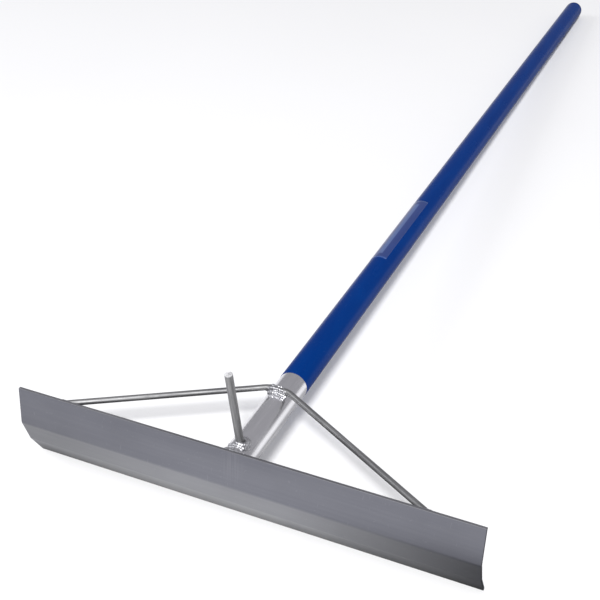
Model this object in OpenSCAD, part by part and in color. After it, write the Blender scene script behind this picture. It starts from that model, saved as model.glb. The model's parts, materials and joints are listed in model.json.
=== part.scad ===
/* [Blade] */
// Width of the blade along its lip
blade_w = 495.3; // [300:0.1:700]
// Thickness of the blade's sheet
sheet_t = 3.2; // [2:0.1:5]
// Length of the lip facet, which meets the ground
lip_len = 31; // [20:0.5:45]
// Lean of the lip facet from upright, its ground edge toward the handle
lip_lean = 27.3; // [20:0.1:40]
// Length of the middle facet
middle_len = 29.1; // [20:0.1:45]
// Lean of the middle facet from upright, its lower edge toward the handle
middle_lean = 14.5; // [8:0.1:18]
// Length of the upper facet, which carries the handle
upper_len = 41.5; // [36:0.5:70]
// Lean of the upper facet from upright, its top edge toward the handle
upper_lean = 9.7; // [4:0.1:15]
// Inside radius of the two bends
bend_r = 5; // [3:0.5:10]

/* [Handle] */
// Length of the handle tube from the blade's back to its far end
tube_len = 1524; // [600:1:2000]
// Outside diameter of the handle tube
tube_od = 31.75; // [25:0.05:34]
// Wall of the handle tube
tube_wall = 1.65; // [1.2:0.05:3]
// How far the tube's crown sits under the blade's top edge
crown_drop = 0.6; // [0.2:0.1:2]
// Length of bare tube between the blade and the coloured coating
bare_len = 137; // [115:1:300]
// Thickness of the coating on the rest of the tube
coating_t = 0.4; // [0.3:0.05:1]

/* [End cap] */
// Length of the cap's straight rim, outside the tube
rim_len = 3; // [1:0.5:10]
// Height of the cap's dome beyond its rim
dome_h = 12; // [5:0.5:15]
// Length of the cap's plug inside the tube
plug_len = 28; // [15:1:60]
// Wall of the hollow plug
plug_wall = 2; // [1.2:0.1:4]
// Number of grip rings around the plug
ring_count = 4; // [2:1:6]
// How far each grip ring stands out of the plug
ring_h = 0.9; // [0.5:0.1:1.5]
// Gap left between the grip rings and the tube's bore
ring_gap = 0.05; // [0.02:0.01:0.1]

/* [Brace rod] */
// Diameter of the brace rod
brace_d = 6.35; // [4:0.05:9]
// Distance from the blade to the rod's crossing over the tube, along the handle
brace_reach = 101.5; // [60:0.5:110]
// Half the length of the straight stretch that crosses the tube
brace_flat = 7; // [4:0.1:25]
// Distance from the centre line to where each arm meets the blade
brace_spread = 194; // [120:1:225]
// How far the arm ends sit under the blade's top edge
brace_drop = 4.6; // [3.5:0.1:9]
// Bend radius of the rod's centre line
brace_bend_r = 16; // [10:1:24]

/* [Mesh hook] */
// Diameter of the hook rod
hook_d = 7.94; // [6:0.02:12]
// Length of the hook rod above the tube's crown
hook_len = 93; // [60:1:150]
// Distance from the blade to the hook's foot, along the handle
hook_reach = 15.7; // [14:0.1:40]
// Lean of the hook toward the front of the blade
hook_lean = 6.8; // [0:0.1:12]
// Broken edge around the hook's cut end
hook_chamfer = 0.5; // [0.2:0.1:1.5]

/* [Welds] */
// Radius of the bead that joins the tube to the blade
tube_bead_r = 3.4; // [2.5:0.1:6]
// Radius of the hook's weld where it meets the tube
hook_bead_r = 10.5; // [8:0.1:12]
// Height of the hook's weld
hook_bead_h = 7; // [4:0.1:10]
// Half the length of the beads along the rod's crossing
crossing_bead_l = 9.5; // [6:0.1:12]
// Radius of the beads along the rod's crossing
crossing_bead_r = 3.6; // [2.5:0.1:5]
// Half the length of the beads at the arm ends
arm_bead_l = 13; // [9:0.1:18]
// Radius of the beads at the arm ends
arm_bead_r = 4.4; // [3.6:0.1:6]

/* [Label] */
// Distance from the blade to the label, along the handle
label_start = 397; // [200:1:420]
// Length of the label along the handle
label_len = 164; // [60:1:180]
// Angle that the label wraps around the handle
label_wrap = 84; // [40:1:170]
// Angle from the right side of the handle up to the label's nearer edge
label_turn = 66; // [0:1:90]
// Thickness of the label
label_t = 0.1; // [0.05:0.01:0.2]

/* [Hidden] */

$fn = 64;
bend_steps = 5;
dome_steps = 16;
bead_steps = 10;
rod_sides = 32;
tube_r = tube_od / 2;
bore_r = tube_r - tube_wall;
grip_r = tube_r + coating_t;
brace_r = brace_d / 2;
hook_r = hook_d / 2;
// A length that passes well through whatever it cuts
through = 60;

// In a section across the blade, the first number runs toward the handle's
// far end and the second is height. A facet that leans by a angle runs
// upward along run(a), and its back faces along back(a).
function run(a) = [-sin(a), cos(a)];
function back(a) = [cos(a), sin(a)];
leans = [lip_lean, middle_lean, -upper_lean];
lip = [0, 0];
low_bend = lip + lip_len * run(leans[0]);
high_bend = low_bend + middle_len * run(leans[1]);
top = high_bend + upper_len * run(leans[2]);
top_back = top + sheet_t * back(leans[2]);

// Centre of the bend that rounds a corner between two leans
function bend_centre(corner, low, high) =
    corner + (bend_r + sheet_t) * (back(low) + back(high)) / (1 + cos(low - high));
// Points of a bend, at radius r, from one lean to the other
function bend(corner, low, high, r) = [
    for (i = [0 : bend_steps])
        bend_centre(corner, low, high) - r * back(low + (high - low) * i / bend_steps)
];

// The tube's axis meets the blade's back at joint, and slopes down until
// the cap at its far end rests on the ground.
joint_drop = crown_drop + tube_r;
joint = top_back - joint_drop * [tan(upper_lean), 1];
slope = asin((joint[1] - grip_r) / (tube_len + rim_len));
along = [cos(slope), -sin(slope)];
upward = [sin(slope), cos(slope)];

// The brace crosses on the tube's crown, and its arms end on the blade's back.
brace_apex = joint + brace_reach * along + (tube_r + brace_r) * upward;
brace_end = top_back - brace_drop * [tan(upper_lean), 1];
brace_run = norm(brace_apex - brace_end);
brace_tilt = atan2(brace_apex[1] - brace_end[1], brace_apex[0] - brace_end[0]);
// From the centre of a bend to the end of its arm, in the rod's own plane
bend_to_end = [brace_spread - brace_flat, brace_run - brace_bend_r];
arm_turn = atan2(bend_to_end[1], bend_to_end[0]) + asin(brace_bend_r / norm(bend_to_end));
arm_len = sqrt(pow(norm(bend_to_end), 2) - pow(brace_bend_r, 2));
// Stations along the right half of the rod's centre line: x, y and heading
rod_bend = [
    for (i = [0 : bend_steps])
        let (a = arm_turn * i / bend_steps)
            [brace_flat + brace_bend_r * sin(a), brace_bend_r * (cos(a) - 1), -a]
];
rod_end = rod_bend[bend_steps] + (arm_len + through / 4) * [cos(arm_turn), -sin(arm_turn), 0];
right_half = concat(rod_bend, [rod_end]);
left_half = [
    for (i = [len(right_half) - 1 : -1 : 0])
        let (p = right_half[i])
            [-p[0], p[1], -p[2]]
];
rod_path = concat(left_half, right_half);

hook_foot = joint + hook_reach * along + tube_r * upward;

// The object's middle, front to back, becomes the origin.
front_y = bend_centre(high_bend, leans[1], leans[2])[0] - bend_r - sheet_t;
dome_reach = norm([dome_h * cos(slope), grip_r * sin(slope)]);
far_y = joint[0] + (tube_len + rim_len) * along[0] + dome_reach;
middle_y = (front_y + far_y) / 2;

// Places children at a point of the section, given in blade coordinates
module at(p) {
    translate([0, p[0] - middle_y, p[1]]) children();
}

// Children's z axis runs down the handle from the blade, and y points down
module along_handle() {
    at(joint) rotate([-90 - slope, 0, 0]) children();
}

// Children's z axis stands on the blade's back, at a point p of it
module on_blade_back(p) {
    at(p) rotate([-90 - upper_lean, 0, 0]) children();
}

// Solid rod of the tube's outside, for fitting pieces around it
module tube_envelope() {
    along_handle() translate([0, 0, -through]) cylinder(h = tube_len + through, r = tube_r);
}

// Everything in front of the blade's back
module blade_side() {
    on_blade_back(joint)
        translate([-blade_w, -blade_w, -2 * through])
            cube([2 * blade_w, 2 * blade_w, 2 * through]);
}

// A bead that tapers to both ends along x
module bead(half_len, r) {
    rotate([0, 90, 0])
        rotate_extrude()
            polygon([
                for (i = [0 : bead_steps])
                    let (a = 180 * i / bead_steps)
                        [max(0, r * sin(a)), -half_len * cos(a)]
            ]);
}

// The bent sheet blade, extruded from its section
module blade() {
    section = concat(
        [lip],
        bend(low_bend, leans[0], leans[1], bend_r + sheet_t),
        bend(high_bend, leans[1], leans[2], bend_r + sheet_t),
        [top, top_back],
        [for (i = [bend_steps : -1 : 0]) bend(high_bend, leans[1], leans[2], bend_r)[i]],
        [for (i = [bend_steps : -1 : 0]) bend(low_bend, leans[0], leans[1], bend_r)[i]],
        [lip + sheet_t * back(leans[0])]
    );
    color("lightsteelblue")
        at([0, 0])
            rotate([90, 0, 90])
                linear_extrude(height = blade_w, center = true)
                    polygon(section);
}

// The handle tube, mitred to lie flat against the blade's back
module handle_tube() {
    color("silver")
        difference() {
            along_handle() translate([0, 0, -through]) cylinder(h = tube_len + through, r = tube_r);
            along_handle() translate([0, 0, -2 * through]) cylinder(h = tube_len + 3 * through, r = bore_r);
            blade_side();
        }
}

// The coloured coating from the bare stretch to the tube's far end
module handle_coating() {
    color("royalblue")
        along_handle()
            translate([0, 0, bare_len])
                rotate_extrude()
                    translate([tube_r, 0])
                        square([coating_t, tube_len - bare_len]);
}

// The domed end cap, with a hollow ringed plug inside the tube
module end_cap() {
    ring_r = bore_r - ring_gap;
    stem_r = ring_r - ring_h;
    ring_pitch = plug_len / (ring_count + 1);
    ring_w = ring_pitch / 3;
    dome = [
        for (i = [0 : dome_steps])
            let (a = 90 * i / dome_steps)
                [grip_r * cos(a), rim_len + dome_h * sin(a)]
    ];
    color("mediumblue")
        along_handle()
            translate([0, 0, tube_len]) {
                difference() {
                    union() {
                        rotate_extrude() polygon(concat([[0, 0], [grip_r, 0]], dome));
                        translate([0, 0, -plug_len]) cylinder(h = plug_len + rim_len / 2, r = stem_r);
                        for (i = [1 : ring_count])
                            translate([0, 0, -i * ring_pitch]) cylinder(h = ring_w, r = ring_r);
                    }
                    translate([0, 0, -2 * plug_len])
                        cylinder(h = 2 * plug_len, r = stem_r - plug_wall);
                }
            }
}

// The whole brace rod before its ends are cut to the blade, swept along its path
module brace_envelope() {
    last = len(rod_path) - 1;
    at(brace_apex)
        rotate([brace_tilt, 0, 0])
            polyhedron(
                points = [
                    for (p = rod_path, i = [0 : rod_sides - 1])
                        let (a = 360 * i / rod_sides, side = brace_r * cos(a))
                            [p[0] - side * sin(p[2]), p[1] + side * cos(p[2]), brace_r * sin(a)]
                ],
                faces = concat(
                    [[for (i = [0 : rod_sides - 1]) i]],
                    [
                        for (k = [0 : last - 1], i = [0 : rod_sides - 1])
                            let (j = (i + 1) % rod_sides, low = k * rod_sides, high = low + rod_sides)
                                [low + i, high + i, high + j, low + j]
                    ],
                    [[for (i = [rod_sides - 1 : -1 : 0]) last * rod_sides + i]]
                )
            );
}

// The bent rod that crosses the tube and braces both wings of the blade
module brace_rod() {
    color("gray")
        difference() {
            brace_envelope();
            blade_side();
        }
}

// The hook rod before its foot is shaped to the tube
module hook_envelope() {
    at(hook_foot)
        rotate([hook_lean, 0, 0])
            rotate_extrude()
                polygon([
                    [0, -hook_d],
                    [hook_r, -hook_d],
                    [hook_r, hook_len - hook_chamfer],
                    [hook_r - hook_chamfer, hook_len],
                    [0, hook_len],
                ]);
}

// The straight hook rod that lifts reinforcing mesh
module mesh_hook() {
    color("darkgray")
        difference() {
            hook_envelope();
            tube_envelope();
        }
}

// The ring of weld around the tube, before its neighbours cut into it
module tube_bead_envelope() {
    on_blade_back(joint)
        rotate_extrude()
            translate([tube_r + tube_bead_r / 4, 0])
                circle(r = tube_bead_r);
}

// The fillet all around the tube, on the blade's back
module weld_tube() {
    color("gainsboro")
        difference() {
            tube_bead_envelope();
            tube_envelope();
            blade_side();
        }
}

// The mound of weld around the hook's foot
module weld_hook() {
    color("gainsboro")
        difference() {
            at(hook_foot)
                rotate([hook_lean, 0, 0])
                    rotate_extrude()
                        polygon(concat(
                            [[0, -hook_bead_h], [hook_bead_r, -hook_bead_h]],
                            [
                                for (i = [0 : bead_steps])
                                    let (a = 90 * i / bead_steps)
                                        [
                                            hook_r + (hook_bead_r - hook_r) * cos(a),
                                            hook_bead_h * sin(a),
                                        ]
                            ],
                            [[0, hook_bead_h]]
                        ));
            tube_envelope();
            hook_envelope();
            tube_bead_envelope();
            blade_side();
        }
}

// One bead along the rod's crossing, on its blade side (-1) or far side (1)
module crossing_bead(side) {
    difference() {
        along_handle()
            translate([0, -tube_r - brace_r / 3, brace_reach + side * brace_r])
                bead(crossing_bead_l, crossing_bead_r);
        tube_envelope();
        brace_envelope();
        at(brace_apex)
            rotate([brace_tilt, 0, 0])
                translate([-through / 2, side > 0 ? -through : 0, -through / 2])
                    cube([through, through, through]);
    }
}

// The bead on the blade side of the rod's crossing
module weld_brace_front() {
    color("gainsboro") crossing_bead(-1);
}

// The bead on the far side of the rod's crossing
module weld_brace_rear() {
    color("gainsboro") crossing_bead(1);
}

// The bead that joins one arm to the blade's back, on side -1 or 1
module arm_bead(side) {
    difference() {
        on_blade_back(brace_end)
            translate([side * brace_spread, 0, arm_bead_r / 4])
                bead(arm_bead_l, arm_bead_r);
        brace_envelope();
        blade_side();
    }
}

// The bead at the end of the left arm
module weld_brace_left() {
    color("gainsboro") arm_bead(-1);
}

// The bead at the end of the right arm
module weld_brace_right() {
    color("gainsboro") arm_bead(1);
}

// The plain label wrapped part of the way around the handle
module label() {
    color("cornflowerblue")
        along_handle()
            translate([0, 0, label_start])
                rotate([0, 0, -label_turn - label_wrap])
                    rotate_extrude(angle = label_wrap)
                        translate([grip_r, 0])
                            square([label_t, label_len]);
}

blade();
handle_tube();
handle_coating();
end_cap();
brace_rod();
mesh_hook();
weld_tube();
weld_hook();
weld_brace_front();
weld_brace_rear();
weld_brace_left();
weld_brace_right();
label();
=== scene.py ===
# %% [markdown]
# # A concrete placer
# This tool drags wet concrete. It has a tall bent blade, a long tube for a handle, a brace rod that
# stops the blade's wings from flexing, and an upright rod that lifts reinforcing mesh. Nearly all of
# it is welded aluminium, so the lesson is about metal: clean bends, true round stock, lumpy welds,
# and finishes that differ although the metal is the same.
#
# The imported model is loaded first. It fixes where everything is, and nothing below moves it.

# %% Load the frame
import json
import math
import random

import bmesh
import bpy
from mathutils import Matrix, Vector
from mathutils.geometry import intersect_line_plane


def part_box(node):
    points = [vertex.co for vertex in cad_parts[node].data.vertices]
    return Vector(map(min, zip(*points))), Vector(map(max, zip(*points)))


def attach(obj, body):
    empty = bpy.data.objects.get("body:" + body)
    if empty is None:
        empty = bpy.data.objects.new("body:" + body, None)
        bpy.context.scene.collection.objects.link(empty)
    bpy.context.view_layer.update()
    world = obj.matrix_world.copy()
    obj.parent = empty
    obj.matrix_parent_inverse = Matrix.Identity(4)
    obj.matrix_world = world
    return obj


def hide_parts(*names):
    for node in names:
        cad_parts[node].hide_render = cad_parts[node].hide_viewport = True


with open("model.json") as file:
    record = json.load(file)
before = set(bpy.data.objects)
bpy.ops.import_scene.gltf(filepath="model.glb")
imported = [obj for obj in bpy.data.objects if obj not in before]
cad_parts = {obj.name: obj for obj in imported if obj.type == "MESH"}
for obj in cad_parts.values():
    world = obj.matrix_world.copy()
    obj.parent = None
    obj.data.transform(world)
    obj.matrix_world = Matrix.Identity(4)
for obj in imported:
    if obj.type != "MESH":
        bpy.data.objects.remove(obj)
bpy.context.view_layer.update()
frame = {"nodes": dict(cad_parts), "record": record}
mounts = {mount["name"]: mount for mount in frame["record"]["mounts"]}
MM = 0.001
print("nodes:", sorted(frame["nodes"]))

# %% [markdown]
# ## Where things are
# Every size comes from the frame or from the stock that the tool is made of. The handle is recorded
# as a mount, so its axis, radius and ends are read from there. The blade is one sheet with two
# bends, so three facets with known lengths and leans give its whole section. `run` is the direction
# that goes up a facet and `back` is the direction its rear face looks, and both are unit vectors
# in the plane that cuts across the blade.

# %% Sizes and places
SHEET = 3.2 * MM
BEND_R = 5 * MM
TUBE_R = 15.875 * MM
TUBE_WALL = 1.65 * MM
FACETS = ((31 * MM, 27.3), (29.1 * MM, 14.5), (41.5 * MM, -9.7))


def run(lean):
    return Vector((0, -math.sin(math.radians(lean)), math.cos(math.radians(lean))))


def back(lean):
    return Vector((0, math.cos(math.radians(lean)), math.sin(math.radians(lean))))


blade_low, blade_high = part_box("blade")
half_blade = (blade_high.x - blade_low.x) / 2
section = [Vector((0, blade_high.y, 0)) - back(FACETS[0][1]).y * SHEET * Vector((0, 1, 0))]
for length, lean in FACETS:
    section.append(section[-1] + length * run(lean))
upper_lean = FACETS[-1][1]
top_back = section[-1] + SHEET * back(upper_lean)

grip = mounts["handle"]
along = Vector(grip["axis"]).normalized()
grip_r = grip["dims"]["r_mm"] * MM
grip_half = grip["dims"]["length_mm"] * MM / 2
grip_start = Vector(grip["pos_m"]) - along * grip_half
grip_end = Vector(grip["pos_m"]) + along * grip_half
joint = intersect_line_plane(grip_start, grip_end, top_back, back(upper_lean))
slope = math.asin(-along.z)
print("top of blade", round((section[-1].z - blade_high.z) / MM, 3), "mm from the frame's")
print("handle slopes", round(math.degrees(slope), 2), "degrees")

# %% [markdown]
# Two working frames save a lot of arithmetic. In the handle's frame, z runs down the handle from
# the blade and y points at the ground. In the blade's frame, z stands on the blade's back. A shape
# is made around the z axis, where that is easy, and one matrix puts it in place. The matrix goes
# into the mesh, so each finished object still sits at the origin.

# %% Working frames
handle_turn = Matrix.Rotation(-math.pi / 2 - slope, 4, "X")
handle_frame = Matrix.Translation(joint) @ handle_turn
blade_turn = Matrix.Rotation(-math.pi / 2 + math.radians(upper_lean), 4, "X")


def on_handle(station, lift=0.0, x=0.0):
    """A point station metres down the handle, lift above its axis."""
    return handle_frame @ Vector((x, -lift, station))


def finish_mesh(name, bm, smooth=True, place=None):
    """Turns a bmesh into an object at the origin, with its place in its mesh."""
    if place is not None:
        bmesh.ops.transform(bm, matrix=place, verts=bm.verts)
    bmesh.ops.recalc_face_normals(bm, faces=bm.faces)
    mesh = bpy.data.meshes.new(name)
    bm.to_mesh(mesh)
    bm.free()
    for face in mesh.polygons:
        face.use_smooth = smooth
    piece = bpy.data.objects.new(name, mesh)
    bpy.context.scene.collection.objects.link(piece)
    print(f"{name}: {len(mesh.polygons)} faces")
    return piece


def install(piece, material, slot, *nodes):
    """Gives a piece its material and its body, and hides the nodes it stands for. The slot is not
    used.
    """
    piece.data.materials.clear()
    piece.data.materials.append(material)
    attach(piece, "root")
    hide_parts(*nodes)


print("joint on the blade's back", [round(c, 4) for c in joint])

# %% [markdown]
# ## Camera, floor and light
# The tool lies on a pale floor and is seen from its front right, from above. The camera comes
# first, because everything else is judged through it. One soft lamp stands behind the camera, well
# above it, so the shadows fall backwards and only peep out beside the handle. The room is dimmer than
# the lit paper. That matters most for the tube: its upper side mirrors the grey room, its lower
# right side mirrors the bright floor, and the border between them is the narrow white stripe.

# %% Camera
CAMERA_TURN = (55.04, 1.54, 24.35)
CAMERA_LENS = 62.53
camera_data = bpy.data.cameras.new("camera")
camera_data.sensor_width = 36
camera_data.lens = CAMERA_LENS
camera_data.clip_end = 50
camera = bpy.data.objects.new("camera", camera_data)
camera.location = (0.3742, -1.3922, 0.7775)
camera.rotation_euler = [math.radians(angle) for angle in CAMERA_TURN]
bpy.context.scene.collection.objects.link(camera)
bpy.context.scene.camera = camera
bpy.context.scene.view_settings.view_transform = "Standard"
print("camera looks down by", round(90 - CAMERA_TURN[0], 1), "degrees")

# %% [markdown]
# A bigger lamp casts a softer shadow. The key is small for its distance, so even the thin arms of the
# brace cast a shadow that can be seen. The second lamp is wide and weak, and only opens up the
# darker side of the tool. A sun lamp would be simpler than the key, but it has no place, so it
# couldn't fall off over the paper. The world's colour is the grey room.


# %% Lamps
def lamp(name, place, target, size, power, colour=(1, 1, 1)):
    data = bpy.data.lights.new(name, "AREA")
    data.shape = "RECTANGLE"
    data.size, data.size_y = size
    data.energy = power
    data.color = colour
    light = bpy.data.objects.new(name, data)
    light.location = place
    aim = Vector(target) - Vector(place)
    light.rotation_euler = aim.to_track_quat("-Z", "Y").to_euler()
    bpy.context.scene.collection.objects.link(light)
    return light


lamp("key_light", (1.9, -5.5, 5.8), (0, -0.3, 0), (0.95, 0.95), 640)
lamp("left_light", (-4.5, -1.5, 3.0), (0, -0.4, 0), (2.0, 2.0), 60, (0.96, 0.97, 1.0))

world = bpy.data.worlds.new("studio")
bpy.context.scene.world = world
world.use_nodes = True
room = world.node_tree.nodes["Background"].inputs
room["Color"].default_value = (0.95, 0.945, 1.0, 1)
room["Strength"].default_value = 0.38

# %% [markdown]
# ## Building materials
# Each finish is a node tree, and the trees are long when every link is written out. `put` adds one
# node, and takes either a number or another node's output for each input, so a tree reads like an
# expression. `ramp` and `blend` wrap the two nodes used most.


# %% Node helpers
def put(tree, kind, inputs=None, **settings):
    node = tree.nodes.new(kind)
    for key, value in settings.items():
        setattr(node, key, value)
    for key, value in (inputs or {}).items():
        if isinstance(value, bpy.types.NodeSocket):
            tree.links.new(value, node.inputs[key])
        else:
            node.inputs[key].default_value = value
    return node


def ramp(tree, factor, low, high, dark=0.0, light=1.0):
    """Maps factor from low..high to dark..light, clamped."""
    node = put(
        tree,
        "ShaderNodeMapRange",
        {"Value": factor, "From Min": low, "From Max": high, "To Min": dark, "To Max": light},
    )
    return node.outputs["Result"]


def blend(tree, factor, first, second):
    """Mixes two colours by factor."""
    node = put(tree, "ShaderNodeMix", {0: factor, 6: first, 7: second}, data_type="RGBA")
    return node.outputs[2]


def sum_of(tree, first, second, operation="ADD"):
    return put(tree, "ShaderNodeMath", {0: first, 1: second}, operation=operation).outputs[0]


def pattern_space(tree, origin=(0, 0, 0), turn=(0, 0, 0), stretch=(1, 1, 1), coords=None):
    """Object (or other) coordinates, measured from origin, turned, and divided by stretch."""
    if coords is None:
        coords = put(tree, "ShaderNodeTexCoord").outputs["Object"]
    mapping = put(
        tree,
        "ShaderNodeMapping",
        {"Vector": coords, "Location": origin, "Rotation": turn, "Scale": stretch},
        vector_type="TEXTURE",
    )
    return mapping.outputs["Vector"]


def new_material(name, **values):
    """A Principled material with some of its sockets set."""
    material = bpy.data.materials.new(name)
    material.use_nodes = True
    tree = material.node_tree
    shader = tree.nodes["Principled BSDF"]
    for key, value in values.items():
        shader.inputs[key.replace("_", " ")].default_value = value
    return material, tree, shader


def split_axes(tree, vector):
    return put(tree, "ShaderNodeSeparateXYZ", {"Vector": vector}).outputs


def wire(tree, output, shader, socket):
    tree.links.new(output, shader.inputs[socket])


def group_tree(name, outputs):
    """An empty shader node group with a vector, a scale, and float outputs."""
    tree = bpy.data.node_groups.new(name, "ShaderNodeTree")
    tree.interface.new_socket("Vector", in_out="INPUT", socket_type="NodeSocketVector")
    scale = tree.interface.new_socket("Scale", in_out="INPUT", socket_type="NodeSocketFloat")
    scale.default_value = 1.0
    for label in outputs:
        tree.interface.new_socket(label, in_out="OUTPUT", socket_type="NodeSocketFloat")
    return tree, put(tree, "NodeGroupInput"), put(tree, "NodeGroupOutput")


print("helpers ready")

# %% [markdown]
# Three effects appear on several finishes, so each is a node group, built once. *Drawn grain* is
# the fine lengthwise streaking that a die or a rolling mill leaves: noise whose coordinates were
# already stretched by the caller. *Handling marks* are thin scratches in three directions with soft
# smudges between them. *Mottle* is the slow cloudy change in tone that no real surface lacks.


# %% Shared effects
def build_grain():
    tree, source, result = group_tree("drawn_grain", ["Streaks", "Height"])
    at = source.outputs["Vector"]
    scale = source.outputs["Scale"]
    broad = put(tree, "ShaderNodeTexNoise", {"Vector": at, "Scale": scale, "Detail": 3.0})
    fine_scale = sum_of(tree, scale, 4.0, "MULTIPLY")
    fine = put(tree, "ShaderNodeTexNoise", {"Vector": at, "Scale": fine_scale, "Detail": 5.0})
    streaks = sum_of(tree, broad.outputs[0], fine.outputs[0])
    tree.links.new(ramp(tree, streaks, 0.7, 1.3), result.inputs["Streaks"])
    tree.links.new(fine.outputs[0], result.inputs["Height"])
    return tree


def build_marks():
    tree, source, result = group_tree("handling_marks", ["Scratches", "Smudges"])
    at = source.outputs["Vector"]
    scale = source.outputs["Scale"]
    lines = None
    for turn, squeeze in ((0.5, 26.0), (-0.9, 19.0), (1.45, 33.0)):
        turned = put(tree, "ShaderNodeMapping", {"Vector": at, "Rotation": (turn, turn / 2, turn)})
        flat = put(
            tree, "ShaderNodeMapping", {"Vector": turned.outputs[0], "Scale": (1.0, squeeze, squeeze)}
        )
        noise = put(
            tree, "ShaderNodeTexNoise",
            {"Vector": flat.outputs[0], "Scale": scale, "Detail": 1.0},
        )
        line = ramp(tree, noise.outputs[0], 0.72, 0.78)
        lines = line if lines is None else sum_of(tree, lines, line, "MAXIMUM")
    cloud = put(tree, "ShaderNodeTexNoise", {"Vector": at, "Scale": scale, "Detail": 4.0})
    tree.links.new(lines, result.inputs["Scratches"])
    tree.links.new(ramp(tree, cloud.outputs[0], 0.45, 0.7), result.inputs["Smudges"])
    return tree


def build_mottle():
    tree, source, result = group_tree("mottle", ["Tone"])
    noise = put(
        tree, "ShaderNodeTexNoise",
        {
            "Vector": source.outputs["Vector"], "Scale": source.outputs["Scale"],
            "Detail": 6.0, "Distortion": 0.6,
        },
    )
    tree.links.new(ramp(tree, noise.outputs[0], 0.3, 0.7), result.inputs["Tone"])
    return tree


GRAIN = build_grain()
MARKS = build_marks()
MOTTLE = build_mottle()


def effect(tree, group, vector, scale):
    return put(tree, "ShaderNodeGroup", {"Vector": vector, "Scale": scale}, node_tree=group).outputs


def bump(tree, height, strength, distance, under=None):
    inputs = {"Height": height, "Strength": strength, "Distance": distance}
    if under is not None:
        inputs["Normal"] = under
    return put(tree, "ShaderNodeBump", inputs).outputs["Normal"]


print("shared effects:", [group.name for group in (GRAIN, MARKS, MOTTLE)])

# %% [markdown]
# ## Floor
# A studio sweep is white paper, slightly rough, and so large that its edge never shows. The paper
# should look plain white, but metal that lies on perfectly even paper looks flat, because it mirrors
# the same tone everywhere. So a glossy ray sees a dim patch in front of the blade's right end and a
# fainter one in front of its left end, and the camera sees neither. They give the lower facets their
# slow change along the blade. A dim strip on both sides of the handle narrows the white stripe on the
# tube. A dark card held out of view would do the same job in a studio.


# %% Floor
def floor_material():
    material, tree, shader = new_material("floor_paper", Roughness=0.75, Specular_IOR_Level=0.2)
    tone = effect(tree, MOTTLE, pattern_space(tree), 1.3)["Tone"]
    paper = blend(tree, tone, (0.90, 0.90, 0.90, 1), (0.92, 0.92, 0.92, 1))
    place = split_axes(tree, pattern_space(tree))
    rightward = ramp(tree, place["X"], 0.04, 0.26)
    leftward = ramp(tree, place["X"], -0.10, -0.24, 0.0, 0.30)
    endward = sum_of(tree, rightward, leftward, "MAXIMUM")
    forward = ramp(tree, place["Y"], blade_high.y + 0.03, blade_high.y)
    nearby = ramp(tree, place["Y"], blade_low.y - 0.16, blade_low.y - 0.05)
    dim = sum_of(tree, sum_of(tree, endward, forward, "MULTIPLY"), nearby, "MULTIPLY")
    beside = ramp(tree, sum_of(tree, place["X"], 0.0, "ABSOLUTE"), 0.13, 0.08)
    beside = sum_of(tree, beside, ramp(tree, place["Y"], -0.74, -0.72), "MULTIPLY")
    dim = sum_of(tree, dim, sum_of(tree, beside, 0.6, "MULTIPLY"), "MAXIMUM")
    glossy = put(tree, "ShaderNodeLightPath").outputs["Is Glossy Ray"]
    dim = sum_of(tree, sum_of(tree, dim, glossy, "MULTIPLY"), 0.93, "MULTIPLY")
    wire(tree, blend(tree, dim, paper, (0.02, 0.02, 0.025, 1)), shader, "Base Color")
    return material


FLOOR_HALF = 12
floor_bm = bmesh.new()
bmesh.ops.create_grid(floor_bm, x_segments=1, y_segments=1, size=FLOOR_HALF)
floor = finish_mesh("floor", floor_bm, smooth=False)
floor.data.materials.append(floor_material())

# %% [markdown]
# ## The blade
# The real blade is one aluminium sheet, sheared to size and folded twice in a press brake. It could
# be a box with loop cuts, but a fold is easier to get right the way the factory does it: draw the
# front line as four points, pull it out to the blade's width, round the two folds with a bevel, and
# only then give the sheet its thickness, so that the wall is even around each fold. The sheared
# edges are last: they lose their razor corners to a very small bevel.


# %% Blade
def make_blade():
    bm = bmesh.new()
    shift = Vector((-half_blade, 0, 0))
    points = [bm.verts.new(point + shift) for point in section]
    line = [bm.edges.new(pair) for pair in zip(points, points[1:])]
    pulled = bmesh.ops.extrude_edge_only(bm, edges=line)["geom"]
    moved = [item for item in pulled if isinstance(item, bmesh.types.BMVert)]
    bmesh.ops.translate(bm, vec=(2 * half_blade, 0, 0), verts=moved)
    folds = [
        edge for edge in bm.edges
        if len(edge.link_faces) == 2 and abs(edge.verts[0].co.x - edge.verts[1].co.x) > half_blade
    ]
    for fold in folds:
        turn = fold.calc_face_angle()
        setback = (BEND_R + SHEET) * math.tan(turn / 2)
        bmesh.ops.bevel(
            bm, geom=[fold], offset=setback, offset_type="OFFSET", segments=8,
            profile=0.5, affect="EDGES", material=-1,
        )
    bmesh.ops.recalc_face_normals(bm, faces=bm.faces)
    if sum(face.normal.y * face.calc_area() for face in bm.faces) > 0:
        bmesh.ops.reverse_faces(bm, faces=bm.faces)
    bmesh.ops.solidify(bm, geom=bm.faces[:], thickness=SHEET)
    sheared = [edge for edge in bm.edges if edge.is_manifold and edge.calc_face_angle() > 1.2]
    bmesh.ops.bevel(
        bm, geom=sheared, offset=0.35 * MM, offset_type="OFFSET", segments=2,
        profile=0.5, affect="EDGES", material=-1,
    )
    piece = finish_mesh("placer_blade", bm)
    piece.data.set_sharp_from_angle(angle=math.radians(28))
    return piece


blade = make_blade()
size = [max(v.co[i] for v in blade.data.vertices) for i in range(3)]
print("blade's high corner is off by", [round((a - b) / MM, 3) for a, b in zip(size, blade_high)])
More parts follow.
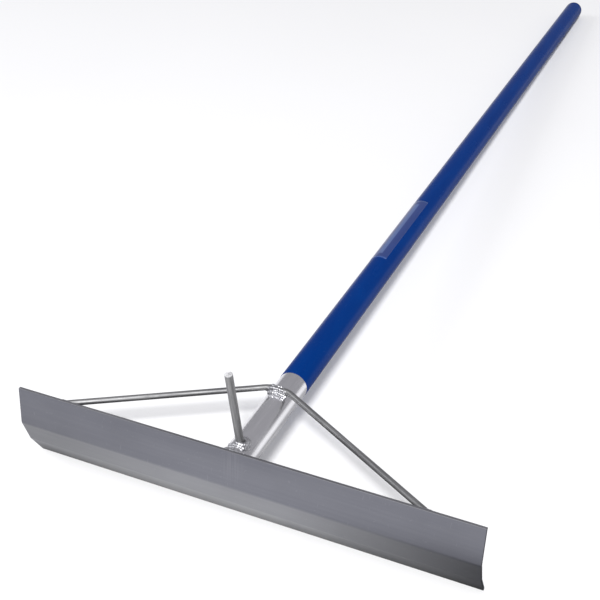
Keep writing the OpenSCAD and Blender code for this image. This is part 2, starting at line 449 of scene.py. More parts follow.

# %% [markdown]
# Mill-finish sheet isn't a mirror. Rolling leaves a very fine grain along the blade, oxide makes it
# dull and slightly blue, and handling leaves faint scratches and smudges. Below the weld the front
# shows a few upright streaks where hot metal was wiped. Some light and shade is painted into the
# colour as well. The facets below the upper fold are painted lighter, as a painted reflection. The
# lip and its bottom few millimetres are painted darker, as painted shade. The two end faces are
# painted dark, as painted shade. The top edge is lighter, partly as fresh sheared metal and partly
# as a painted highlight. All of this is in the colour, the roughness and a faint bump.


# %% Blade finish
def blade_material():
    material, tree, shader = new_material("mill_aluminium_sheet", Metallic=1.0, Anisotropic=0.35)
    rolled = pattern_space(tree, stretch=(0.35, 0.012, 0.012))
    grain = effect(tree, GRAIN, rolled, 1.0)
    marks = effect(tree, MARKS, pattern_space(tree, stretch=(0.06, 0.06, 0.06)), 1.0)
    tone = effect(tree, MOTTLE, pattern_space(tree, stretch=(0.5, 0.16, 0.16)), 1.6)["Tone"]
    base = blend(tree, tone, (0.172, 0.175, 0.203, 1), (0.206, 0.210, 0.238, 1))
    base = blend(tree, ramp(tree, grain["Streaks"], 0, 1, 0.0, 0.30), base, (0.29, 0.294, 0.32, 1))
    height = split_axes(tree, pattern_space(tree))["Z"]
    # Painted reflection: the facets below the upper fold are painted lighter than the upper facet.
    facet_painted_highlight = ramp(tree, height, section[2].z + 1 * MM, section[2].z - 3 * MM)
    base = blend(tree, facet_painted_highlight, base, blend(tree, 0.60, base, (0.300, 0.302, 0.313, 1)))
    # Painted shade: the lip is painted gradually darker from the lower fold downwards.
    lip_painted_shade = ramp(tree, height, section[1].z + 1 * MM, section[1].z - 20 * MM)
    base = blend(tree, lip_painted_shade, base, blend(tree, 0.8, base, (0.095, 0.095, 0.103, 1)))
    # Painted shade: the bottom four millimetres of the lip are painted nearly black.
    base = blend(tree, ramp(tree, height, 4.0 * MM, 0.5 * MM, 0, 0.80), base, (0.05, 0.05, 0.055, 1))
    # The top sheared edge is painted lighter: partly fresh cut metal, partly a painted highlight.
    top_edge_cut_and_highlight = ramp(tree, height, section[-1].z - 0.55 * MM, section[-1].z - 0.35 * MM)
    base = blend(tree, top_edge_cut_and_highlight, base, (0.32, 0.32, 0.34, 1))
    # Painted shade: the two sheared end faces are painted dark.
    side = split_axes(tree, pattern_space(tree))["X"]
    from_end = sum_of(tree, half_blade, sum_of(tree, side, 0.0, "ABSOLUTE"), "SUBTRACT")
    base = blend(tree, ramp(tree, from_end, 0.5 * MM, 0.3 * MM), base, (0.07, 0.07, 0.08, 1))
    wiped_place = pattern_space(tree, origin=joint, stretch=(0.013, 0.200, 0.028))
    measure = put(tree, "ShaderNodeVectorMath", {0: wiped_place}, operation="LENGTH")
    distance = measure.outputs["Value"]
    upright = pattern_space(tree, stretch=(0.9 * MM, 60 * MM, 60 * MM))
    noise = put(tree, "ShaderNodeTexNoise", {"Vector": upright, "Scale": 1.0, "Detail": 3.0})
    wipe = noise.outputs[0]
    wiped = sum_of(tree, ramp(tree, distance, 1.0, 0.2), ramp(tree, wipe, 0.48, 0.62), "MULTIPLY")
    base = blend(tree, ramp(tree, wiped, 0, 1, 0, 0.22), base, (0.38, 0.38, 0.40, 1))
    base = blend(tree, ramp(tree, marks["Scratches"], 0, 1, 0, 0.10), base, (0.50, 0.50, 0.51, 1))
    wire(tree, base, shader, "Base Color")
    rough = ramp(tree, grain["Streaks"], 0, 1, 0.40, 0.50)
    rough = sum_of(tree, rough, ramp(tree, marks["Smudges"], 0, 1, 0.0, 0.08))
    wire(tree, rough, shader, "Roughness")
    relief = bump(tree, grain["Height"], 0.12, 0.05 * MM)
    relief = bump(tree, marks["Scratches"], 0.06, 0.03 * MM, relief)
    wire(tree, relief, shader, "Normal")
    return material


install(blade, blade_material(), "blade_sheet", "blade")

# %% [markdown]
# ## Tube and coating
# The handle is a length of drawn tube, mitred at the blade. In the frame it has few sides, which is
# enough to weigh and collide but shows as flats in a highlight. Here it starts as a fine circle
# that is extruded to length. A bisect along the blade's back makes the mitre exact. The coating is
# a second skin, and its start is masked off with tape before it is sprayed, so it ends in a
# crisp line with a thin rounded shoulder.

# %% Tube
SIDES = 96


def make_pipe(stations, radii, wall):
    """A pipe around the handle's axis: a circle, extruded once for each station."""
    bm = bmesh.new()
    ring = bmesh.ops.create_circle(bm, segments=SIDES, radius=radii[0])["verts"]
    bmesh.ops.translate(bm, vec=(0, 0, stations[0]), verts=ring)
    edges = bm.edges[:]
    for start, stop, before, after in zip(stations, stations[1:], radii, radii[1:]):
        pulled = bmesh.ops.extrude_edge_only(bm, edges=edges)["geom"]
        ring = [item for item in pulled if isinstance(item, bmesh.types.BMVert)]
        edges = [item for item in pulled if isinstance(item, bmesh.types.BMEdge)]
        edges = [item for item in edges if all(v in set(ring) for v in item.verts)]
        bmesh.ops.translate(bm, vec=(0, 0, stop - start), verts=ring)
        grow = after / before
        bmesh.ops.scale(bm, vec=(grow, grow, 1), verts=ring)
    bmesh.ops.recalc_face_normals(bm, faces=bm.faces)
    bmesh.ops.solidify(bm, geom=bm.faces[:], thickness=wall)
    return bm


end_station = (grip_end - joint).length
bare_station = (grip_start - joint).length
tube_bm = make_pipe([-20 * MM, bare_station / 2, end_station], [TUBE_R] * 3, TUBE_WALL)
bmesh.ops.transform(tube_bm, matrix=handle_frame, verts=tube_bm.verts)
bmesh.ops.bisect_plane(
    tube_bm, geom=tube_bm.verts[:] + tube_bm.edges[:] + tube_bm.faces[:],
    plane_co=top_back, plane_no=-back(upper_lean), clear_outer=True,
)
open_edges = [item for item in tube_bm.edges if item.is_boundary]
bmesh.ops.bridge_loops(tube_bm, edges=open_edges)
tube = finish_mesh("handle_bare_tube", tube_bm)
tube.data.set_sharp_from_angle(angle=math.radians(35))
print("bare tube shows for", round(bare_station / MM), "mm")

# %% [markdown]
# The coating comes from the same pipe builder. Its first half millimetre swells from the masked
# line to the full radius, and the rest is straight. It is cut into rings so that no face is very
# long and thin, which would make the shading uneven.

# %% Coating
COAT = grip_r - TUBE_R
SHOULDER = 0.5 * MM
RINGS = 24
coat_stations = [bare_station, bare_station + 0.2 * MM, bare_station + SHOULDER]
coat_radii = [TUBE_R + 0.25 * COAT, TUBE_R + 0.8 * COAT, grip_r]
straight = end_station - bare_station - SHOULDER
for step in range(1, RINGS + 1):
    coat_stations.append(bare_station + SHOULDER + straight * step / RINGS)
    coat_radii.append(grip_r)
coat_bm = make_pipe(coat_stations, coat_radii, COAT * 0.2)
coating = finish_mesh("handle_blue_coating", coat_bm, place=handle_frame)
coating.data.set_sharp_from_angle(angle=math.radians(50))
coat_length = round((end_station - bare_station) / MM)
print("coating is", round(COAT / MM, 2), "mm thick and", coat_length, "mm long")

# %% [markdown]
# Drawn tube has grain along its length, so the pattern is measured in the handle's frame and
# stretched eighty times along z. The blue skin is smoother: a faint orange peel, a few hairline
# scuffs, and very little shine, because a strong one would wash the blue out to grey.


# %% Tube and coating finishes
def along_space(tree, across, length):
    """Pattern space with z down the handle, stretched by across and length."""
    stretch = (across, across, length)
    return pattern_space(tree, origin=joint, turn=handle_turn.to_euler(), stretch=stretch)


def tube_material():
    material, tree, shader = new_material("drawn_tube", Metallic=1.0, Anisotropic=0.5)
    grain = effect(tree, GRAIN, along_space(tree, 1.5 * MM, 120 * MM), 1.0)
    marks = effect(tree, MARKS, along_space(tree, 14 * MM, 14 * MM), 1.0)
    tone = effect(tree, MOTTLE, along_space(tree, 9 * MM, 60 * MM), 1.0)["Tone"]
    base = blend(tree, tone, (0.74, 0.735, 0.76, 1), (0.84, 0.835, 0.86, 1))
    base = blend(tree, ramp(tree, grain["Streaks"], 0, 1, 0, 0.4), base, (0.92, 0.915, 0.93, 1))
    station = split_axes(tree, along_space(tree, 1.0, 1.0))["Z"]
    soot = sum_of(tree, ramp(tree, station, 30 * MM, 4 * MM), tone, "MULTIPLY")
    base = blend(tree, ramp(tree, soot, 0, 1, 0, 0.45), base, (0.33, 0.33, 0.35, 1))
    wire(tree, base, shader, "Base Color")
    rough = ramp(tree, grain["Streaks"], 0, 1, 0.17, 0.24)
    rough = sum_of(tree, rough, ramp(tree, tone, 0, 1, 0, 0.05))
    wire(tree, rough, shader, "Roughness")
    relief = bump(tree, grain["Height"], 0.06, 0.02 * MM)
    wire(tree, bump(tree, marks["Scratches"], 0.08, 0.03 * MM, relief), shader, "Normal")
    return material


def blue_material(name, dark, light, rough):
    material, tree, shader = new_material(
        name, Metallic=0.0, Specular_IOR_Level=0.04, Coat_Weight=0.02, Coat_Roughness=0.06
    )
    peel = put(
        tree, "ShaderNodeTexNoise",
        {"Vector": along_space(tree, 1.0 * MM, 1.4 * MM), "Scale": 0.7, "Detail": 2.0},
    ).outputs[0]
    tone = effect(tree, MOTTLE, along_space(tree, 16 * MM, 90 * MM), 1.0)["Tone"]
    marks = effect(tree, MARKS, along_space(tree, 18 * MM, 30 * MM), 1.0)
    base = blend(tree, tone, dark, light)
    base = blend(tree, ramp(tree, marks["Scratches"], 0, 1, 0, 0.10), base, (0.10, 0.20, 0.45, 1))
    wire(tree, base, shader, "Base Color")
    wire(tree, sum_of(tree, ramp(tree, marks["Smudges"], 0, 1, 0, 0.08), rough), shader, "Roughness")
    wire(tree, bump(tree, peel, 0.08, 0.06 * MM), shader, "Normal")
    return material


coat_blue = blue_material("blue_coating", (0.0003, 0.026, 0.165, 1), (0.0004, 0.033, 0.190, 1), 0.22)
cap_blue = blue_material("blue_cap", (0.0006, 0.016, 0.098, 1), (0.001, 0.020, 0.120, 1), 0.34)
install(tube, tube_material(), "bare_tube", "handle_tube")
install(coating, coat_blue, "blue_coating", "handle_coating")

# %% [markdown]
# ## End cap
# The cap is moulded: a dome, a short rim, and a ringed plug that grips the tube's bore. A moulding
# that is round all over is the classic job for a spin: half of its outline, drawn once, turned
# through a full circle. The dome is part of an ellipse, so it leaves the rim without a crease.

# %% Cap
cap_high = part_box("end_cap")[1]
CAP_RIM = 3 * MM
PLUG_LEN = 28 * MM
PLUG_GAP = 1 * MM
GRIP_GAP = 0.1 * MM
PLUG_WALL = 2 * MM
PLUG_RINGS = 4
DOME_STEPS = 18
CAP_CLEAR = 0.05 * MM
cap_tip = (cap_high.y - joint.y) / along.y - CAP_CLEAR
dome_h = cap_tip - end_station - CAP_RIM
bore_r = TUBE_R - TUBE_WALL


def make_cap():
    outline = [(0, cap_tip)]
    for step in range(1, DOME_STEPS + 1):
        angle = math.radians(90 - 90 / DOME_STEPS * step)
        rise = end_station + CAP_RIM + dome_h * math.sin(angle)
        outline.append((grip_r * math.cos(angle), rise))
    plug_r = bore_r - PLUG_GAP
    hollow_r = plug_r - PLUG_WALL
    plug_end = end_station - PLUG_LEN
    outline += [(grip_r, end_station + 0.3 * MM), (grip_r - 0.3 * MM, end_station)]
    outline += [(plug_r, end_station)]
    bump_out = ((0, PLUG_GAP), (0.5 * MM, GRIP_GAP), (1.4 * MM, GRIP_GAP), (1.9 * MM, PLUG_GAP))
    for ring in range(PLUG_RINGS):
        low = end_station - (ring + 0.6) * PLUG_LEN / (PLUG_RINGS + 1)
        for depth, gap in bump_out:
            outline.append((bore_r - gap, low - depth))
    outline += [(plug_r, plug_end), (hollow_r, plug_end), (hollow_r, end_station), (0, end_station)]
    bm = bmesh.new()
    points = [bm.verts.new((x, 0, z)) for x, z in outline]
    line = [bm.edges.new(pair) for pair in zip(points, points[1:])]
    bmesh.ops.spin(
        bm, geom=points + line, cent=(0, 0, 0), axis=(0, 0, 1), angle=math.tau,
        steps=SIDES, use_merge=True, use_duplicate=False,
    )
    bmesh.ops.remove_doubles(bm, verts=bm.verts, dist=0.001 * MM)
    return finish_mesh("handle_end_cap", bm, place=handle_frame)


cap = make_cap()
cap.data.set_sharp_from_angle(angle=math.radians(40))
install(cap, cap_blue, "blue_cap", "end_cap")
print("dome is", round(dome_h / MM, 1), "mm high")

# %% [markdown]
# ## Brace rod
# One rod is bent twice and laid over the tube, and its ends are cut to the blade's back. A sweep
# along a curve would do, but the rod has only three straight runs and two bends, so it is made as a
# bender makes it: push the circle forward, spin it around the former, push again. Half the rod is
# made and then mirrored. The last step cuts both ends with the plane of the blade's back.

# %% Brace
BRACE_R = 6.35 / 2 * MM
BRACE_BEND = 16 * MM
BRACE_FLAT = 7 * MM
BRACE_SPREAD = 194 * MM
BRACE_DROP = 4.6 * MM
BRACE_STATION = 101.5 * MM
ARM_EXTRA = 12 * MM
ARM_PARTS = 8
brace_apex = on_handle(BRACE_STATION, TUBE_R + BRACE_R)
lean_tan = math.tan(math.radians(-upper_lean))
brace_end = top_back - BRACE_DROP * Vector((0, lean_tan, 1))
reach = (brace_apex - brace_end).length
corner_x = BRACE_SPREAD - BRACE_FLAT
corner_y = reach - BRACE_BEND
arm_turn = math.atan2(corner_y, corner_x) + math.asin(BRACE_BEND / math.hypot(corner_x, corner_y))
arm_length = math.sqrt(corner_x**2 + corner_y**2 - BRACE_BEND**2)
brace_tilt = math.atan2(brace_apex.z - brace_end.z, brace_apex.y - brace_end.y)


def push(bm, edges, offset):
    """Extrudes a loop of edges by an offset, and gives back its new edges."""
    pulled = bmesh.ops.extrude_edge_only(bm, edges=edges)["geom"]
    verts = [item for item in pulled if isinstance(item, bmesh.types.BMVert)]
    bmesh.ops.translate(bm, vec=offset, verts=verts)
    return [edge for edge in bm.edges if all(v in set(verts) for v in edge.verts)]


def make_brace():
    bm = bmesh.new()
    start = Matrix.Rotation(math.pi / 2, 4, "Y")
    bmesh.ops.create_circle(bm, segments=32, radius=BRACE_R, matrix=start)
    edges = push(bm, bm.edges[:], Vector((BRACE_FLAT, 0, 0)))
    bent = bmesh.ops.spin(
        bm, geom=edges, cent=(BRACE_FLAT, -BRACE_BEND, 0), axis=(0, 0, -1), angle=arm_turn,
        steps=10, use_merge=False, use_duplicate=False,
    )["geom_last"]
    edges = [item for item in bent if isinstance(item, bmesh.types.BMEdge)]
    heading = Vector((math.cos(arm_turn), -math.sin(arm_turn), 0))
    for _ in range(ARM_PARTS):
        edges = push(bm, edges, heading * (arm_length + ARM_EXTRA) / ARM_PARTS)
    bmesh.ops.holes_fill(bm, edges=edges)
    everything = bm.verts[:] + bm.edges[:] + bm.faces[:]
    bmesh.ops.mirror(bm, geom=everything, axis="X", merge_dist=0.01 * MM)
    bmesh.ops.remove_doubles(bm, verts=bm.verts, dist=0.005 * MM)
    place = Matrix.Translation(brace_apex) @ Matrix.Rotation(brace_tilt, 4, "X")
    bmesh.ops.transform(bm, matrix=place, verts=bm.verts)
    bmesh.ops.bisect_plane(
        bm, geom=bm.verts[:] + bm.edges[:] + bm.faces[:],
        plane_co=top_back, plane_no=-back(upper_lean), clear_outer=True,
    )
    bmesh.ops.holes_fill(bm, edges=[edge for edge in bm.edges if edge.is_boundary])
    piece = finish_mesh("brace_bent_rod", bm)
    piece.data.set_sharp_from_angle(angle=math.radians(40))
    return piece


brace = make_brace()
print("brace turns", round(math.degrees(arm_turn), 1), "degrees at each bend")

# %% [markdown]
# ## Mesh hook
# A straight piece of thicker rod stands on the tube and leans slightly to the front. Its top was
# sawn, and the burr was knocked off, so the end is flat with a small rounded edge. Its foot sinks
# just under the tube's skin, where the weld hides it.

# %% Hook
HOOK_R = 7.94 / 2 * MM
HOOK_SUNK = 1.0 * MM
HOOK_PARTS = 10
hook_mount = mounts["hook_tip"]
hook_up = Vector(hook_mount["axis"]).normalized()
hook_top = Vector(hook_mount["pos_m"])
HOOK_LENGTH = 93 * MM
hook_foot = hook_top - hook_up * HOOK_LENGTH


def make_hook():
    bm = bmesh.new()
    bmesh.ops.create_circle(bm, segments=48, radius=HOOK_R)
    bmesh.ops.translate(bm, vec=(0, 0, -HOOK_SUNK), verts=bm.verts)
    edges = bm.edges[:]
    for _ in range(HOOK_PARTS):
        edges = push(bm, edges, Vector((0, 0, (HOOK_LENGTH + HOOK_SUNK) / HOOK_PARTS)))
    bmesh.ops.holes_fill(bm, edges=[edge for edge in bm.edges if edge.is_boundary])
    sharp = [edge for edge in bm.edges if edge.is_manifold and edge.calc_face_angle() > 1.0]
    rim = [edge for edge in sharp if edge.verts[0].co.z > 0]
    bmesh.ops.bevel(
        bm, geom=rim, offset=0.55 * MM, offset_type="OFFSET", segments=3,
        profile=0.5, affect="EDGES", material=-1,
    )
    lean = Vector((0, 0, 1)).rotation_difference(hook_up).to_matrix().to_4x4()
    place = Matrix.Translation(hook_foot) @ lean
    piece = finish_mesh("mesh_hook_rod", bm, place=place)
    piece.data.set_sharp_from_angle(angle=math.radians(50))
    return piece


hook = make_hook()
print("hook stands", round(HOOK_LENGTH / MM), "mm above the tube")

# %% [markdown]
# Drawn rod is greyer and duller than the tube, and shows long dark streaks, because its grain is
# coarse for its size. The brace's arms run in two directions. Taking the distance from the centre
# line, without its sign, folds space there, so one turned pattern follows both arms.


# %% Rod finish
def folded_space(tree):
    """Object coordinates with x taken without its sign."""
    split = split_axes(tree, put(tree, "ShaderNodeTexCoord").outputs["Object"])
    folded = sum_of(tree, split["X"], 0.0, "ABSOLUTE")
    joined = put(tree, "ShaderNodeCombineXYZ", {"X": folded, "Y": split["Y"], "Z": split["Z"]})
    return joined.outputs[0]


def rod_material(name, turn, stretch, origin=(0, 0, 0), sawn=None, fold=False):
    """Streaked rod, with a paler, rougher end from sawn metres along it."""
    material, tree, shader = new_material(name, Metallic=1.0, Anisotropic=0.3)
    coords = folded_space(tree) if fold else None
    grain = effect(tree, GRAIN, pattern_space(tree, origin, turn, stretch, coords), 1.0)
    tone = effect(tree, MOTTLE, pattern_space(tree, stretch=(9 * MM, 9 * MM, 9 * MM)), 1.0)["Tone"]
    marks = effect(tree, MARKS, pattern_space(tree, stretch=(12 * MM, 12 * MM, 12 * MM)), 1.0)
    base = blend(tree, grain["Streaks"], (0.17, 0.17, 0.175, 1), (0.43, 0.43, 0.43, 1))
    base = blend(tree, ramp(tree, tone, 0, 1, 0, 0.35), base, (0.22, 0.22, 0.23, 1))
    rough = ramp(tree, grain["Streaks"], 0, 1, 0.62, 0.52)
    rough = sum_of(tree, rough, ramp(tree, marks["Smudges"], 0, 1, 0, 0.08))
    if sawn is not None:
        height = split_axes(tree, pattern_space(tree, origin, turn))["Z"]
        cut = ramp(tree, height, sawn - 0.20 * MM, sawn - 0.05 * MM)
        speckle = effect(tree, MOTTLE, pattern_space(tree, stretch=(MM, MM, MM)), 0.8)["Tone"]
        raw = blend(tree, speckle, (0.60, 0.60, 0.61, 1), (0.95, 0.95, 0.95, 1))
        base = blend(tree, cut, base, raw)
        rough = sum_of(tree, rough, sum_of(tree, cut, 0.30, "MULTIPLY"))
    wire(tree, base, shader, "Base Color")
    wire(tree, rough, shader, "Roughness")
    relief = bump(tree, grain["Height"], 0.25, 0.08 * MM)
    wire(tree, bump(tree, marks["Scratches"], 0.2, 0.06 * MM, relief), shader, "Normal")
    return material


GRAIN_WIDTH = 0.8 * MM
GRAIN_LENGTH = 50 * MM
hook_turn = Vector((0, 0, 1)).rotation_difference(hook_up).to_euler()
hook_metal = rod_material(
    "hook_rod", hook_turn, (GRAIN_WIDTH, GRAIN_WIDTH, GRAIN_LENGTH), hook_foot, HOOK_LENGTH
)
brace_metal = rod_material(
    "brace_rod", (0, 0, -arm_turn), (GRAIN_LENGTH, GRAIN_WIDTH, GRAIN_WIDTH), fold=True
)
install(hook, hook_metal, "rod_stock", "mesh_hook")
install(brace, brace_metal, "rod_stock", "brace_rod")

# %% [markdown]
# ## Welds
# A weld bead is a row of small puddles that froze one after another, each lapping the last. Noise
# on a smooth ring looks like clay, so each puddle is made for real: a flattened ball, slightly off
# its neighbours in size and place. Hundreds of balls that cross would leave faces inside, so a
# voxel remesh joins each row into one skin, and a light smooth melts the valleys. The random
# numbers are seeded, which makes every run the same.

# %% Weld builder
PUDDLE_TILT = 0.35
WELD_VOXEL = 0.42 * MM
X_AXIS = Vector((1, 0, 0))
puddle_random = random.Random(41)


def puddle(centre, forward, up, size):
    """Place and shape of one frozen puddle, with a little variation."""
    jitter = [puddle_random.uniform(-1, 1) for _ in range(5)]
    forward = forward.normalized()
    side = up.cross(forward).normalized()
    lift = forward.cross(side).normalized()
    turn = Matrix((forward, side, lift)).transposed().to_4x4()
    tilt = Matrix.Rotation(PUDDLE_TILT + 0.12 * jitter[0], 4, "Y")
    length, width, height = size
    grow = 1 + 0.10 * jitter[1]
    wider = 1 + 0.06 * jitter[2]
    shape = Matrix.Diagonal((length * grow, width * grow * wider, height * grow, 1))
    nudge = side * width * 0.10 * jitter[3] + forward * length * 0.15 * jitter[4]
    return Matrix.Translation(centre + nudge) @ turn @ tilt @ shape


def make_weld(name, puddles):
    """Joins puddles into one skin. The evaluated copy keeps the modifiers' result as plain mesh."""
    bm = bmesh.new()
    for place in puddles:
        bmesh.ops.create_icosphere(bm, subdivisions=3, radius=1.0, matrix=place)
    rough = finish_mesh(name + "_puddles", bm)
    remesh = rough.modifiers.new("join", "REMESH")
    remesh.mode = "VOXEL"
    remesh.voxel_size = WELD_VOXEL
    melt = rough.modifiers.new("melt", "SMOOTH")
    melt.factor = 0.5
    melt.iterations = 2
    bpy.context.view_layer.update()
    joined = rough.evaluated_get(bpy.context.evaluated_depsgraph_get())
    mesh = bpy.data.meshes.new_from_object(joined)
    mesh.name = name
    bpy.data.objects.remove(rough)
    for face in mesh.polygons:
        face.use_smooth = True
    piece = bpy.data.objects.new(name, mesh)
    bpy.context.scene.collection.objects.link(piece)
    print(f"{name}: {len(puddles)} puddles, {len(mesh.polygons)} faces")
    return piece


# %% [markdown]
# Fresh weld metal is brighter than drawn stock. It keeps the ripple of each puddle, is stained grey
# in patches, and is peppered with tiny pits. Ambient occlusion could keep the stain to the valleys,
# but it is slow and noisy, and a fine noise looks much the same at this size.


# %% Weld finish
def weld_material():
    material, tree, shader = new_material("weld_metal", Metallic=1.0)
    space = pattern_space(tree, stretch=(2.2 * MM, 2.2 * MM, 2.2 * MM))
    tone = effect(tree, MOTTLE, space, 1.0)["Tone"]
    pits = put(tree, "ShaderNodeTexVoronoi", {"Vector": space, "Scale": 2.2}).outputs["Distance"]
    pit = ramp(tree, pits, 0.10, 0.22)
    base = blend(tree, tone, (0.34, 0.34, 0.36, 1), (0.72, 0.72, 0.74, 1))
    base = blend(tree, pit, (0.22, 0.22, 0.23, 1), base)
    wire(tree, base, shader, "Base Color")
    wire(tree, ramp(tree, tone, 0, 1, 0.48, 0.30), shader, "Roughness")
    relief = bump(tree, pit, 0.3, 0.10 * MM)
    wire(tree, bump(tree, tone, 0.35, 0.14 * MM, relief), shader, "Normal")
    return material


weld_metal = weld_material()
print("weld metal ready")

# %% [markdown]
# The bead around the tube follows the ring where the tube meets the blade. It is slim on top, where
# the hook's weld needs the room, and full at the sides and below.


# %% Tube weld
TUBE_PUDDLES = 46


def tube_weld_puddles():
    """A ring of puddles where the tube meets the blade's back."""
    places = []
    normal = back(upper_lean)
    ring = Matrix.Translation(joint) @ blade_turn
    for step in range(TUBE_PUDDLES):
        angle = math.tau * step / TUBE_PUDDLES
        out = Vector((math.cos(angle), math.sin(angle), 0))
        outward = ring.to_3x3() @ out
        slim = 1 - 0.62 * max(0.0, outward.z) ** 2
        centre = ring @ (out * (TUBE_R + 0.9 * MM * slim) + Vector((0, 0, 1.5 * MM * slim)))
        forward = ring.to_3x3() @ Vector((-math.sin(angle), math.cos(angle), 0))
        size = (2.0 * MM, 2.9 * MM * slim, 2.1 * MM * slim)
        places.append(puddle(centre, forward, (outward + normal).normalized(), size))
    return places


tube_weld = make_weld("weld_tube_to_blade", tube_weld_puddles())
install(tube_weld, weld_metal, "weld_bead", "weld_tube")

# %% [markdown]
# The hook is held by the biggest weld. The welder goes round the foot three times, each turn wider
# and flatter than the last, then adds heavy lumps on the side of the pull, and washes metal down to
# the blade. All of it is shifted a little to one side, because hand welding is never centred.
# `crown_point` wraps the rows around the tube, so they lie on it instead of floating.


# %% Hook weld
def crown_point(station, x, proud=0.0):
    """A point on the tube's skin near its crown, x to one side, and its outward direction."""
    angle = x / TUBE_R
    out = handle_turn.to_3x3() @ Vector((math.sin(angle), -math.cos(angle), 0))
    return on_handle(station) + out * (TUBE_R + proud), out


HOOK_WELD_SHIFT = 1.6 * MM


def hook_weld_puddles():
    """Three turns of puddles around the foot, lumps in front, and an apron down to the blade."""
    places = []
    foot_station = (hook_foot - joint).dot(along)
    for radius, count, proud, size in (
        (4.4 * MM, 11, 1.9 * MM, (2.3 * MM, 2.2 * MM, 2.6 * MM)),
        (6.9 * MM, 19, 0.5 * MM, (2.0 * MM, 1.25 * MM, 1.9 * MM)),
        (9.1 * MM, 26, -0.4 * MM, (1.8 * MM, 1.0 * MM, 1.5 * MM)),
    ):
        for step in range(count):
            angle = math.tau * step / count
            x = HOOK_WELD_SHIFT + radius * math.cos(angle)
            centre, out = crown_point(foot_station + radius * math.sin(angle), x, proud)
            forward = -math.sin(angle) * X_AXIS + math.cos(angle) * along
            places.append(puddle(centre, forward, out, size))
    for column in range(-3, 3):
        centre, out = crown_point(foot_station - 6.0 * MM, (column * 2.6 + 0.6) * MM, 1.0 * MM)
        size = (2.2 * MM, 2.7 * MM, 2.3 * MM)
        places.append(puddle(centre, along, out, size))
    for row, station in enumerate((1.8 * MM, 3.6 * MM, 5.4 * MM, 7.2 * MM)):
        for column in range(-5, 4):
            x = (column * 2.3 - 0.4 * row) * MM
            centre, out = crown_point(station, x, -0.35 * MM)
            places.append(puddle(centre, X_AXIS, out, (2.3 * MM, 1.1 * MM, 1.0 * MM)))
    return places


hook_weld = make_weld("weld_hook_foot", hook_weld_puddles())
install(hook_weld, weld_metal, "weld_bead", "weld_hook")

# %% [markdown]
# The brace is tacked on both sides of its crossing, and some metal runs up over the rod. At each
# arm's end two rows, above and below the rod, close around its tip.


# %% Brace welds
def crossing_puddles(side):
    """Puddles along the rod on one side of its crossing, washed over the rod and the tube."""
    places = []
    for column in range(-4, 5):
        x = column * 2.2 * MM
        centre, out = crown_point(BRACE_STATION + side * 3.6 * MM, x, 1.6 * MM)
        places.append(puddle(centre, X_AXIS, out, (2.1 * MM, 2.5 * MM, 2.4 * MM)))
    for column in range(-2, 3):
        x = column * 2.6 * MM - 1 * MM
        centre, out = crown_point(BRACE_STATION + side * 7.0 * MM, x, -0.2 * MM)
        places.append(puddle(centre, along, out, (2.6 * MM, 1.9 * MM, 1.5 * MM)))
    for column in range(-4, 4):
        lump = puddle_random.uniform(0.8, 1.25)
        x = (column * 2.3 - 0.6) * MM
        centre, out = crown_point(BRACE_STATION + side * 1.8 * MM, x, (4.7 + 0.7 * lump) * MM)
        size = (2.0 * MM * lump, 1.9 * MM * lump, 2.1 * MM * lump)
        places.append(puddle(centre, X_AXIS, out, size))
    return places


def arm_puddles(side):
    """Puddles over and under one arm's end, on the blade's back."""
    places = []
    normal = back(upper_lean)
    up = run(upper_lean)
    for step in range(12):
        x = side * (BRACE_SPREAD + (step - 6.2) * 2.0 * MM)
        spread = 1 - abs(step - 5.5) / 7.5
        for level in (-1, 1):
            rise = up * level * 2.3 * MM * spread
            centre = brace_end + Vector((x, 0, 0)) + rise + normal * 1.0 * MM
            places.append(puddle(centre, X_AXIS, normal, (2.0 * MM, 2.0 * MM, 1.5 * MM)))
    return places


for name, places, node in (
    ("weld_crossing_front", crossing_puddles(-1), "weld_brace_front"),
    ("weld_crossing_rear", crossing_puddles(1), "weld_brace_rear"),
    ("weld_arm_left", arm_puddles(-1), "weld_brace_left"),
    ("weld_arm_right", arm_puddles(1), "weld_brace_right"),
):
    install(make_weld(name, places), weld_metal, "weld_bead", node)

# %% [markdown]
# ## Label
# A film label lies on the coating. A flat line of points, spun part of the way around the handle,
# gives a patch that follows the tube exactly. Its four corners are rounded before it gets its
# thickness. It carries only plain bands, one across each end and a pale one along it. The material
# draws them from the distance down the handle and the angle around it.

# %% Label
LABEL_WRAP = math.radians(84)
LABEL_TURN = math.radians(66)
LABEL_LENGTH = 164 * MM
LABEL_START = 397 * MM
LABEL_FILM = 0.07 * MM
LABEL_BAND = math.radians(72)
LABEL_BORDER = 3 * MM


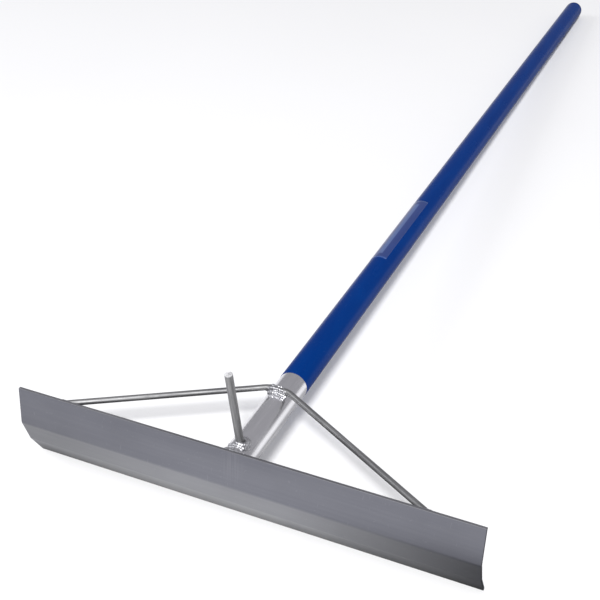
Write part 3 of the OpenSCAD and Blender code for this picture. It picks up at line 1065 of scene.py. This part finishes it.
def make_label():
    bm = bmesh.new()
    radius = grip_r + 0.02 * MM
    spots = [0, 2 * MM, LABEL_LENGTH / 2, LABEL_LENGTH - 2 * MM, LABEL_LENGTH]
    points = [bm.verts.new((radius, 0, LABEL_START + spot)) for spot in spots]
    line = [bm.edges.new(pair) for pair in zip(points, points[1:])]
    start = Matrix.Rotation(-LABEL_TURN - LABEL_WRAP, 3, "Z")
    bmesh.ops.rotate(bm, cent=(0, 0, 0), matrix=start, verts=bm.verts)
    bmesh.ops.spin(
        bm, geom=points + line, cent=(0, 0, 0), axis=(0, 0, 1), angle=LABEL_WRAP,
        steps=36, use_merge=False, use_duplicate=False,
    )
    corners = [v for v in bm.verts if len(v.link_edges) == 2]
    bmesh.ops.bevel(
        bm, geom=corners, offset=0.6 * MM, offset_type="OFFSET", segments=3,
        profile=0.5, affect="VERTICES", material=-1,
    )
    bmesh.ops.recalc_face_normals(bm, faces=bm.faces)
    bmesh.ops.solidify(bm, geom=bm.faces[:], thickness=-LABEL_FILM)
    return finish_mesh("handle_label", bm, place=handle_frame)


def label_material():
    material, tree, shader = new_material(
        "label_film", Specular_IOR_Level=0.5, Coat_Weight=0.3, Coat_Roughness=0.2
    )
    split = split_axes(tree, along_space(tree, 1.0, 1.0))
    half = LABEL_LENGTH / 2
    middle = sum_of(tree, split["Z"], LABEL_START + half, "SUBTRACT")
    from_middle = sum_of(tree, middle, 0.0, "ABSOLUTE")
    inner = half - LABEL_BORDER
    border = ramp(tree, from_middle, inner - 0.2 * MM, inner + 0.2 * MM)
    tone = effect(tree, MOTTLE, along_space(tree, 9 * MM, 30 * MM), 1.0)["Tone"]
    film = blend(tree, tone, (0.010, 0.033, 0.165, 1), (0.014, 0.041, 0.190, 1))
    film = blend(tree, border, film, (0.030, 0.075, 0.26, 1))
    turned = sum_of(tree, split["Y"], split["X"], "DIVIDE")
    angle = put(tree, "ShaderNodeMath", {0: turned}, operation="ARCTANGENT").outputs[0]
    from_band = sum_of(tree, sum_of(tree, angle, LABEL_BAND, "SUBTRACT"), 0.0, "ABSOLUTE")
    band = ramp(tree, from_band, 0.20, 0.16)
    ends = ramp(tree, from_middle, half - 10 * MM, half - 12 * MM)
    stripe = sum_of(tree, sum_of(tree, band, ends, "MULTIPLY"), 0.55, "MULTIPLY")
    base = blend(tree, stripe, film, (0.13, 0.20, 0.42, 1))
    wire(tree, base, shader, "Base Color")
    wire(tree, ramp(tree, tone, 0, 1, 0.30, 0.40), shader, "Roughness")
    wire(tree, bump(tree, tone, 0.05, 0.05 * MM), shader, "Normal")
    return material


label = make_label()
install(label, label_material(), "label_film", "label")
print("label lies", round(LABEL_START / MM), "mm down the handle")
